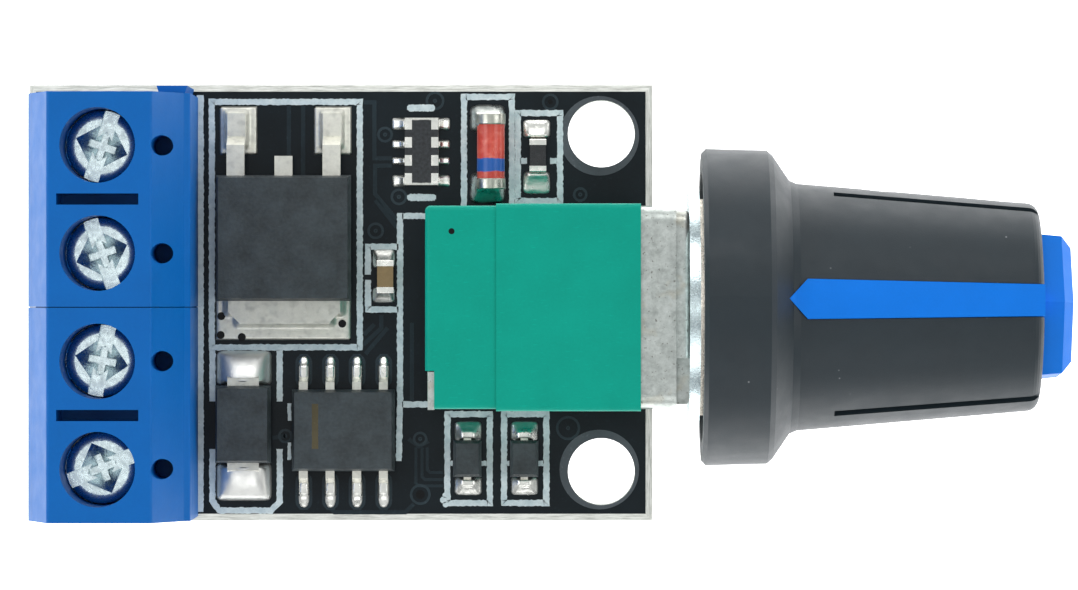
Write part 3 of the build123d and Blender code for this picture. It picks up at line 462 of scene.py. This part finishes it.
class Pile:
    """Many small closed shapes kept in one mesh."""

    def __init__(self):
        self.v, self.f = [], []

    def add(self, verts, faces):
        k = len(self.v)
        self.v += verts
        self.f += [tuple(i + k for i in f) for f in faces]

    def ribbon(self, path, width, z0, z1, jag=0.0, step=0.1, closed=False, tips=False):
        """Flat line along a path of (x, y), mitred at its corners, with slightly ragged sides.

        tips rounds its two ends."""
        pts = list(path) + ([path[0]] if closed else [])
        dense = []
        for (xa, ya), (xb, yb) in zip(pts, pts[1:]):
            count = max(1, int(math.hypot(xb - xa, yb - ya) / step))
            for i in range(count):
                t = i / count
                dense.append((xa + (xb - xa) * t, ya + (yb - ya) * t))
        if not closed:
            dense.append(pts[-1])
        n = len(dense)
        verts, faces = [], []
        for i, (x, y) in enumerate(dense):
            prev = dense[(i - 1) % n] if closed or i else None
            nxt = dense[(i + 1) % n] if closed or i < n - 1 else None
            d0 = Vector((x - prev[0], y - prev[1])).normalized() if prev else None
            d1 = Vector((nxt[0] - x, nxt[1] - y)).normalized() if nxt else None
            d0 = d0 or d1
            d1 = d1 or d0
            mid = (d0 + d1).normalized() if (d0 + d1).length > 1e-6 else d1
            normal = Vector((-mid.y, mid.x))
            stretch = 1 / max(0.35, mid.dot(d1))
            if tips:
                inset = min(1.0, 2 * step * min(i, n - 1 - i) / width)
                stretch *= max(0.25, 1 - (1 - inset) ** 2) ** 0.5
            a = width / 2 * stretch + rng.uniform(-jag, jag)
            b = width / 2 * stretch + rng.uniform(-jag, jag)
            left, right = Vector((x, y)) + normal * a, Vector((x, y)) - normal * b
            verts += [(left.x, left.y, z1), (right.x, right.y, z1),
                      (left.x, left.y, z0), (right.x, right.y, z0)]
        runs = n if closed else n - 1
        for i in range(runs):
            p, q = 4 * i, 4 * ((i + 1) % n)
            faces += [(p, p + 1, q + 1, q), (p + 2, q + 2, q + 3, p + 3), (p, q, q + 2, p + 2),
                      (p + 1, p + 3, q + 3, q + 1)]
        if not closed:
            e = 4 * (n - 1)
            faces += [(0, 2, 3, 1), (e, e + 1, e + 3, e + 2)]
        self.add(verts, faces)

    def mound(self, cx, cy, lx, ly, height, power, rings=7, spokes=36):
        """Rounded-rectangle patch on the board whose surface height in mm is height(x, y, edge).

        edge runs from 1 in the middle to 0 at the outline; a larger power squares the corners."""
        verts, faces = [(cx, cy, TOP + height(cx, cy, 1.0))], []
        for i in range(1, rings + 1):
            r = i / rings
            for k in range(spokes):
                a = 2 * math.pi * k / spokes
                c, s = math.cos(a), math.sin(a)
                x = cx + r * lx / 2 * math.copysign(abs(c) ** (2 / power), c)
                y = cy + r * ly / 2 * math.copysign(abs(s) ** (2 / power), s)
                verts.append((x, y, TOP + height(x, y, 1 - r)))
        base = len(verts)
        for k in range(spokes):
            x, y, _ = verts[1 + (rings - 1) * spokes + k]
            verts.append((x, y, TOP + PAD_FOOT))
        for k in range(spokes):
            faces.append((0, 1 + k, 1 + (k + 1) % spokes))
        for i in range(rings):
            a = 1 + i * spokes
            b = a + spokes if i < rings - 1 else base
            for k in range(spokes):
                k2 = (k + 1) % spokes
                faces.append((a + k, b + k, b + k2, a + k2))
        faces.append(tuple(base + k for k in range(spokes))[::-1])
        self.add(verts, faces)

    def ring(self, cx, cy, r0, r1, z0, z1, spokes=28, shift=(0, 0)):
        """Flat ring; shift moves its outer circle off the bore's middle."""
        bore = circle(cx, cy, r0, spokes)
        rim = circle(cx + shift[0], cy + shift[1], r1, spokes)
        verts, faces = [], []
        for points, z in ((bore, z0), (bore, z1), (rim, z1), (rim, z0)):
            verts += [(x, y, z) for x, y in points]
        for j in range(4):
            a, b = j * spokes, ((j + 1) % 4) * spokes
            for k in range(spokes):
                k2 = (k + 1) % spokes
                faces.append((a + k, a + k2, b + k2, b + k))
        self.add(verts, faces)

    def disc(self, cx, cy, r, z, spokes=24):
        """Low round plug standing on the board, its top at z."""
        verts = [(cx, cy, z)]
        for level in (z, z - PLUG_DEPTH):
            verts += [(x, y, level) for x, y in circle(cx, cy, r, spokes)]
        faces = [(0, 1 + k, 1 + (k + 1) % spokes) for k in range(spokes)]
        faces += [(1 + k, 1 + spokes + k, 1 + spokes + (k + 1) % spokes, 1 + (k + 1) % spokes)
                  for k in range(spokes)]
        faces.append(tuple(range(2 * spokes, spokes, -1)))
        self.add(verts, faces)


def fillet_height(feet, rise, reach, flat):
    """Solder surface that climbs towards the metal feet (x0, x1, y0, y1) standing in it."""
    def height(x, y, edge):
        d = min(math.hypot(max(x0 - x, 0, x - x1), max(y0 - y, 0, y - y1)) for x0, x1, y0, y1 in feet)
        swell = rise * math.exp(-d / reach)
        return 0.012 + (flat + swell) * min(1.0, 2.6 * edge) ** 0.6
    return height


def heap_height(cx, edge_y, side, length):
    """Deep solder heap over a wide lead: highest at the body's wall, running down to the pad's end."""
    half_width = 1.34

    def height(x, y, edge):
        t = min(1.0, max(0.0, side * (y - edge_y) / length))
        crown = 0.9 * (1 - t ** 1.7) ** 0.8
        across = max(0.0, 1 - (abs(x - cx) / half_width) ** 4)
        return 0.02 + (0.16 + crown * across) * min(1.0, 4.5 * edge) ** 0.5
    return height


# ---------------------------------------------------------------- board artwork
ink, solder, tin, heap, rim, mark, dent, trace, tent, hole = (Pile() for _ in range(10))

# Thin layers on the board's top face, in mm: where each starts inside the board and how high it ends.
Z_INK = (TOP - 0.004, TOP + 0.022)
Z_TRACE = (TOP - 0.003, TOP + 0.009)
Z_RING = (TOP - 0.005, TOP + 0.014)
Z_VIA_CORE = (TOP - 0.004, TOP + 0.009)
Z_VIA_BORE = TOP + 0.006
Z_PAD_HOLE = TOP + 0.075
Z_INK_BLOT = Z_INK[1] + 0.012
VIA_RING = 0.12
VIA_CORE = (0.03, 0.1)
INK_WIDTH = 0.29
INK_RAGGED = 0.022
TRACK_WIDTH = 0.2
TRACK_RAGGED = 0.004
RIM_WIDTH = 0.3
RIM_SHIFT = 0.1
RIM_Z = (0.004, 0.012)    # depth into the board, height over it


def ink_line(path, width=INK_WIDTH, closed=False, **more):
    ink.ribbon(path, width, *Z_INK, jag=INK_RAGGED, closed=closed, **more)


def ink_box(x0, y0, x1, y1):
    """Outline given by its outer edges."""
    h = INK_WIDTH / 2
    ink_line([(x0 + h, y0 + h), (x1 - h, y0 + h), (x1 - h, y1 - h), (x0 + h, y1 - h)], closed=True)


def flat_pad(x0, x1, y0, y1, feet):
    """Square-cornered tinned pad, almost flat, with a hollow run of solder round the foot in it."""
    grid = 0.09
    nx, ny = max(8, int((x1 - x0) / grid)), max(8, int((y1 - y0) / grid))
    verts = []
    for j in range(ny + 1):
        for i in range(nx + 1):
            x, y = x0 + (x1 - x0) * i / nx, y0 + (y1 - y0) * j / ny
            d = min(math.hypot(max(a - x, 0, x - b), max(c - y, 0, y - e)) for a, b, c, e in feet)
            inside = min(x - x0, x1 - x, y - y0, y1 - y)
            crown = 0.05 * min(1, inside / 0.12)
            dish = 0.035 * math.exp(-((d - 0.3) / 0.11) ** 2)
            climb = 0.3 * math.exp(-(d / 0.11) ** 2)
            z = TOP + 0.01 + crown - dish * min(1, inside / 0.3) + climb
            verts.append((x, y, z if inside > 1e-6 else TOP + PAD_FOOT))
    row = nx + 1
    faces = [(j * row + i, j * row + i + 1, (j + 1) * row + i + 1, (j + 1) * row + i)
             for j in range(ny) for i in range(nx)]
    border = (list(range(row)) + [j * row + nx for j in range(1, ny + 1)]
              + [ny * row + i for i in range(nx - 1, -1, -1)] + [j * row for j in range(ny - 1, 0, -1)])
    faces.append(tuple(border[::-1]))
    tin.add(verts, faces)


def pin_places(node):
    """Middle of each through-hole pin of a node, from the vertices under the board."""
    below, pin_apart = pcb_lo[2] - 0.5, 1.6
    low = [v.co / MM for v in nodes[node].data.vertices if v.co.z / MM < below]
    spots = []
    for v in low:
        for group in spots:
            if math.hypot(group[0][0] - v.x, group[0][1] - v.y) < pin_apart:
                group.append((v.x, v.y))
                break
        else:
            spots.append([(v.x, v.y)])
    return [(sum(p[0] for p in g) / len(g), sum(p[1] for p in g) / len(g)) for g in spots]


class Near:
    """Turns offsets from the middle of a part into board coordinates."""

    def __init__(self, node):
        self.x, self.y, _ = centre_mm(node)

    def __call__(self, *offsets):
        return [(self.x + dx, self.y + dy) for dx, dy in offsets]

    def sides(self, x0, x1, y0, y1):
        return self.x + x0, self.x + x1, self.y + y0, self.y + y1

    def pad(self, x0, x1, y0, y1, feet, rise=0.3, reach=0.18, power=6.0, flat=0.05):
        """Solder pad given by its sides; feet are the sides of the metal standing in it."""
        x0, x1, y0, y1 = self.sides(x0, x1, y0, y1)
        height = fillet_height([self.sides(*foot) for foot in feet], rise, reach, flat)
        solder.mound((x0 + x1) / 2, (y0 + y1) / 2, x1 - x0, y1 - y0, height, power)

    def box(self, x0, y0, x1, y1):
        ink_box(self.x + x0, self.y + y0, self.x + x1, self.y + y1)

    def via(self, dx, dy, r, bore=0.0):
        """Plated hole tented by the mask, with its bore open or filled; an open bore is a dark disc of painted
        shade, standing for the shade inside the hole.
        """
        x, y = self.x + dx, self.y + dy
        tent.ring(x, y, r - VIA_RING, r, *Z_RING)
        if bore:
            # open bore drawn as a dark disc: painted shade of the hole
            hole.disc(x, y, bore, Z_VIA_BORE)
        else:
            tent.ring(x, y, *VIA_CORE, *Z_VIA_CORE)


def track(path, width=TRACK_WIDTH):
    trace.ribbon(path, width, *Z_TRACE, jag=TRACK_RAGGED)


# fet((dx, dy), ...) and its like count in mm from the middle of that part.
fet, rect, chip, array = (Near(k) for k in ("mosfet_body", "rectifier_body", "timer_chip_body",
                                            "resistor_array_body"))
glass, resistor, cap = Near("glass_diode_body"), Near("chip_resistor_body"), Near("chip_capacitor_body")
diodes, pot = Near("signal_diode_bodies"), Near("switch_housing")

# terminal block line, transistor outline and pads
block_lo, _ = box_mm("terminal_housing_b")
_, block_hi = box_mm("terminal_housing_a")
ink_line([(block_hi[0] + 0.1, block_lo[1] + 0.2), (block_hi[0] + 0.1, block_hi[1] - 0.25)], 0.33)
mlo, mhi = box_mm("mosfet_body")
ink_box(mlo[0] - 0.4, mlo[1] - 2.36, mhi[0] + 0.53, mhi[1] + 3.65)
llo, lhi = box_mm("mosfet_leads")
for x0, f0 in ((llo[0] - 0.38, llo[0]), (lhi[0] - 1.29, lhi[0] - 0.85)):
    flat_pad(x0, x0 + 1.78, lhi[1] - 1.96, lhi[1] + 0.34, [(f0, f0 + 0.85, lhi[1] - 1.5, lhi[1])])
flat_pad(mlo[0] - 0.06, mhi[0] - 0.04, mlo[1] - 1.86, mlo[1] + 0.9,
         [(llo[0], lhi[0], llo[1] + 0.5, llo[1] + 3), (llo[0] + 0.5, lhi[0] - 0.5, llo[1], llo[1] + 3)])
# dark discs for the small holes by the transistor's pads: painted shade of the holes
for dx, dy in ((-3.01, -3.72), (-3.04, -4.62), (-2.03, -4.72), (2.76, -4.08)):
    (x, y), = fet((dx, dy))
    hole.disc(x, y, 0.19, Z_PAD_HOLE)

# rectifier
ink_line(rect((-1.505, -1.2), (-1.505, -3.65), (-1.19, -4.13), (1.29, -4.13), (1.705, -3.7), (1.705, -1.2)))
for dx in (-1.505, 1.705):
    ink_line(rect((dx, 3.52), (dx, 1.07)))
rlo, rhi = box_mm("rectifier_body")
mid_x = (rlo[0] + rhi[0]) / 2
for side, edge_y, end in ((1, rhi[1], rhi[1] + 1.65), (-1, rlo[1], rlo[1] - 1.83)):
    length = abs(end - edge_y)
    heap.mound(mid_x, (edge_y - side * 0.02 + end) / 2, 2.63, length,
               heap_height(mid_x, edge_y, side, length), power=9, rings=14, spokes=64)

# timer chip
for dy0, dy1 in ((1.27, 0.44), (-0.6, -1.43)):
    ink_line(chip((-2.595, dy0), (-2.595, dy1)), 0.17)
clo, chi = box_mm("timer_chip_leads")
lead_width = 0.42
pitch = (chi[0] - clo[0] - lead_width) / 3
for i in range(4):
    dx = clo[0] + lead_width / 2 + i * pitch - chip.x
    for y0, y1, toe in ((2.12, 3.52, chi[1] - chip.y), (-3.71, -2.13, clo[1] - chip.y)):
        foot = (toe - 0.75, toe) if toe > 0 else (toe, toe + 0.75)
        chip.pad(dx - 0.285, dx + 0.285, y0, y1, [(dx - 0.16, dx + 0.16, *foot)],
                 rise=0.2, reach=0.13, power=2.6)
        tent.ribbon(chip((dx, y0 - 0.1), (dx, y1 + 0.1)), 0.8, *Z_RING, step=0.05, tips=True)

# capacitor, and the long outline the potentiometer shares with it
for way in ((0.1, 1.435), (-0.15, -1.565)):
    ink_line(cap((-0.835, way[0]), (-0.835, way[1]), (0.62, way[1])))
plo, phi = box_mm("switch_housing")
line_x = plo[0] - 1.385 - pot.x
ink_line(pot((line_x, 4.48), (line_x, -4.5), (line_x - 0.06, -7.35)))
for dy in (4.335, -4.655):
    ink_line(pot((line_x + 0.1, dy), (line_x + 1.6, dy)))
cap.pad(-0.64, 0.47, 0.36, 1.32, [(-0.4, 0.4, 0.35, 0.8)], rise=0.42, reach=0.2, power=5)
cap.pad(-0.64, 0.47, -1.25, -0.44, [(-0.4, 0.4, -0.8, -0.35)], rise=0.42, reach=0.2, power=5)

# resistor array
for dx0, dx1, dy in ((-0.7, 0.63, 2.08), (-0.7, 0.68, -2.19)):
    ink_line(array((dx0, dy), (dx1, dy)), 0.33, step=0.03, tips=True)
for y0, y1 in ((1.03, 1.62), (0.14, 0.55), (-0.62, -0.27), (-1.69, -1.12)):
    for x0, x1, fx in ((-1.42, -0.72, -0.78), (0.72, 1.35, 0.78)):
        foot = (min(fx, fx * 0.8), max(fx, fx * 0.8), y0 + 0.1, y1 - 0.1)
        array.pad(x0, x1, y0, y1, [foot], rise=0.42, reach=0.2)

# glass diode and chip resistor
ink_line(glass((-1.285, -2.9), (-1.285, 2.615), (1.0, 2.615), (1.0, -2.9)))
resistor.box(-1.1, -2.31, 1.20, 2.17)
for dx0, dx1 in ((-0.84, -0.52), (0.58, 0.9)):
    ink_line(resistor((dx0, -0.26), (dx1, -0.26)), 0.28)
for y0, y1, f0, f1 in ((0.9, 2.25, 1.25, 1.8), (-2.49, -0.95, -1.8, -1.25)):
    glass.pad(-1.01, 0.7, y0, y1, [(-0.62, 0.62, f0, f1)], rise=0.95, reach=0.3, power=5, flat=0.1)
for y0, y1, f0, f1 in ((0.82, 1.72, 0.5, 0.8), (-1.83, -0.75, -0.8, -0.5)):
    resistor.pad(-0.71, 0.59, y0, y1, [(-0.4, 0.4, f0, f1)], rise=0.4, reach=0.25, power=6)

# signal diodes
for left in (-2.455, 0.245):
    diodes.box(left, -2.27, left + 2.31, 2.26)
    for dx0, dx1 in ((1.7, 2.01), (0.3, 0.4)):
        ink_line(diodes((left + dx0, -0.24), (left + dx1, -0.24)), 0.24)
for dx, dy, r in ((-2.42, -1.75, 0.13), (-2.5, -1.98, 0.17), (-2.4, -2.2, 0.14)):
    (x, y), = diodes((dx, dy))
    ink.disc(x, y, r, Z_INK_BLOT, 9)
for x0 in (-1.975, 0.715):
    mid = x0 + 0.65
    for y0, y1, f0, f1 in ((0.78, 1.78, 0.9, 1.3), (-1.76, -0.84, -1.3, -0.9)):
        diodes.pad(x0, x0 + 1.3, y0, y1, [(mid - 0.3, mid + 0.3, f0, f1)], rise=0.3, reach=0.2, power=6)

# tracks under the mask
track(fet((0.21, 6.32), (0.21, 3.02)))
track(fet((0.89, 6.32), (0.89, 3.02)))
track(array((-2.79, 2.35), (-2.26, 2.35), (-2.26, -0.32), (-1.42, -0.32)))
track(array((-1.42, -0.67), (-2.23, -0.67), (-2.23, -2.02), (-1.2, -3.25)))
track(array((-2.21, -2.31), (-1.2, -3.61)))
track(cap((-0.2, -1.83), (-0.2, -2.45), (-1.05, -3.24)))
track(cap((0.1, -2.44), (-0.96, -3.69)))
track(cap((-0.53, -2.27), (-1.03, -2.76)))
track(cap((1.26, -2.2), (1.26, -5.94)))
track(chip((3.09, -0.43), (3.59, -0.78), (4.04, -0.53)))
for dx, turn in ((3.44, -2.67), (3.73, -2.37), (3.98, -2.03)):
    track(chip((dx, -0.83), (dx, turn + 0.14), (dx + 0.14, turn), (4.73, turn)), 0.14)
track(chip((-0.88, -3.49), (-0.44, -3.93), (2.94, -3.93), (3.34, -3.53)))
track(chip((-3.41, -0.38), (-2.79, -0.29)))

array.via(0.63, 2.42, 0.45)
array.via(-1.75, 0.81, 0.38)
array.via(-1.09, -2.16, 0.4)
resistor.via(0.59, 2.56, 0.4, 0.12)
resistor.via(2.02, -1.86, 0.35)
cap.via(-0.47, 2.19, 0.4)
diodes.via(3.445, 1.45, 0.58)
chip.via(3.64, -0.43, 0.35)
chip.via(3.65, -3.08, 0.5, 0.22)
chip.via(-2.79, -0.29, 0.35)

# bare ring round each mounting hole, a little off its hole
mount = frame["record"]["mounts"][0]
hole_r = mount["dims"]["hole_r_mm"]
for sign in (1, -1):
    y = sign * mount["dims"]["spacing_y_mm"] / 2
    for z0, z1 in ((TOP - RIM_Z[0], TOP + RIM_Z[1]), (pcb_lo[2] - RIM_Z[1], pcb_lo[2] + RIM_Z[0])):
        rim.ring(0, y, hole_r, hole_r + RIM_WIDTH, z0, z1, 48, (-RIM_SHIFT, -sign * RIM_SHIFT))

# solder rings under the board, round each pin
for node in ("terminal_contacts_a", "terminal_contacts_b", "pot_terminals", "switch_terminals"):
    for x, y in pin_places(node):
        tin.ring(x, y, 0.72, 1.2, pcb_lo[2] - 0.014, pcb_lo[2] + 0.004)

# ejector mark on the switch housing
(x, y), = pot((-0.415, 3.5))
# dark disc in the middle of the ejector ring: painted shade of the pit
hole.disc(x, y, 0.14, phi[2] + 0.004)
dent.ring(x, y, 0.28, 0.36, phi[2] - 0.004, phi[2] + 0.006)

# pin-one mark on the chip
chip_top = box_mm("timer_chip_body")[1][2]
mark.ribbon(chip((-1.32, -0.87), (-1.32, 1.27)), 0.3, chip_top - 0.004, chip_top + 0.006, jag=0.01)

MASK = "solder_mask_black"
for name, pile, look, slot, smooth in (
        ("ink_lines", ink, "ink", MASK, False),
        ("pad_solder", solder, "solder", "solder", True),
        ("pad_tin", tin, "tin", "solder", True),
        ("solder_heaps", heap, "heap", "solder", True),
        ("mounting_hole_rims", rim, "rim", MASK, False),
        ("mask_over_tracks", trace, "trace", MASK, False),
        ("mask_over_vias", tent, "tent", MASK, False),
        # dark discs for open holes and pits: painted shade
        ("via_bores_painted_shade", hole, "bore", MASK, False),
        ("chip_mark", mark, "mark", MASK, False),
        ("housing_ejector_ring", dent, "green", "green_thermoplastic", False)):
    piece(name, pile, look, smooth)

# ---------------------------------------------------------------- floor, light, camera
FLOOR_GAP = 0.0002
FLOOR_HALF = 3.0
FLOOR_GLOW = 1.6
WORLD_GLOW = 0.4
OVERHEAD_POWER = 0.11
SIDE_LIGHTS = (("left", -1, 0, 0.95), ("right", 1, 0, 0.8), ("near", 0, -1, 0.65), ("far", 0, 1, 1.05))
SIDE_LIGHT_OUT = 0.45
SIDE_LIGHT_UP = 0.45
SIDE_LIGHT_SIZE = 0.35
CAMERA_XY = (-0.002977, 0.000367)
CAMERA_OVER_BOARD = 0.312
CAMERA_LENS = 218.4
CAMERA_SENSOR = 36.0


def add_floor():
    h, z = FLOOR_HALF, cad_box[0][2] - FLOOR_GAP
    mesh = bpy.data.meshes.new("floor")
    mesh.from_pydata([(-h, -h, z), (h, -h, z), (h, h, z), (-h, h, z)], [], [(0, 1, 2, 3)])
    obj = bpy.data.objects.new("floor", mesh)
    bpy.context.collection.objects.link(obj)
    s = Shader("floor_white", Roughness=0.9, Specular_IOR_Level=0.1)
    s.colour(s.ramp(s.noise(60, 2), [(0.3, (0.86, 0.86, 0.86, 1)), (0.7, (0.9, 0.9, 0.9, 1))]))
    s.bsdf.inputs["Emission Color"].default_value = (1, 1, 1, 1)
    s.bsdf.inputs["Emission Strength"].default_value = FLOOR_GLOW
    mesh.materials.append(s.mat)


add_floor()

world = bpy.data.worlds.new("studio")
world.use_nodes = True
background = world.node_tree.nodes["Background"]
background.inputs["Color"].default_value = (0.94, 0.97, 1.0, 1)
background.inputs["Strength"].default_value = WORLD_GLOW
scene.world = world


def softbox(name, place, aim, size, power):
    """Rectangular lamp at place, turned towards aim."""
    data = bpy.data.lights.new(name, "AREA")
    data.shape = "RECTANGLE"
    data.size, data.size_y = size
    data.energy = power
    obj = bpy.data.objects.new(name, data)
    obj.location = place
    obj.rotation_euler = (Vector(aim) - Vector(place)).to_track_quat("-Z", "Y").to_euler()
    obj.visible_camera = False
    bpy.context.collection.objects.link(obj)


softbox("overhead", (-0.03, 0, 0.62), (-0.03, 0, 0), (0.2, 0.16), OVERHEAD_POWER)
for side, x, y, power in SIDE_LIGHTS:
    softbox(side, (x * SIDE_LIGHT_OUT, y * SIDE_LIGHT_OUT, SIDE_LIGHT_UP), (0, 0, 0),
            (SIDE_LIGHT_SIZE, SIDE_LIGHT_SIZE), power)

cam_data = bpy.data.cameras.new("camera")
cam_data.sensor_width = CAMERA_SENSOR
cam_data.lens = CAMERA_LENS
cam_data.clip_start = 0.01
cam_data.clip_end = 20.0
camera = bpy.data.objects.new("camera", cam_data)
camera.location = (*CAMERA_XY, TOP * MM + CAMERA_OVER_BOARD)
camera.rotation_euler = (0, 0, 0)
bpy.context.collection.objects.link(camera)
scene.camera = camera
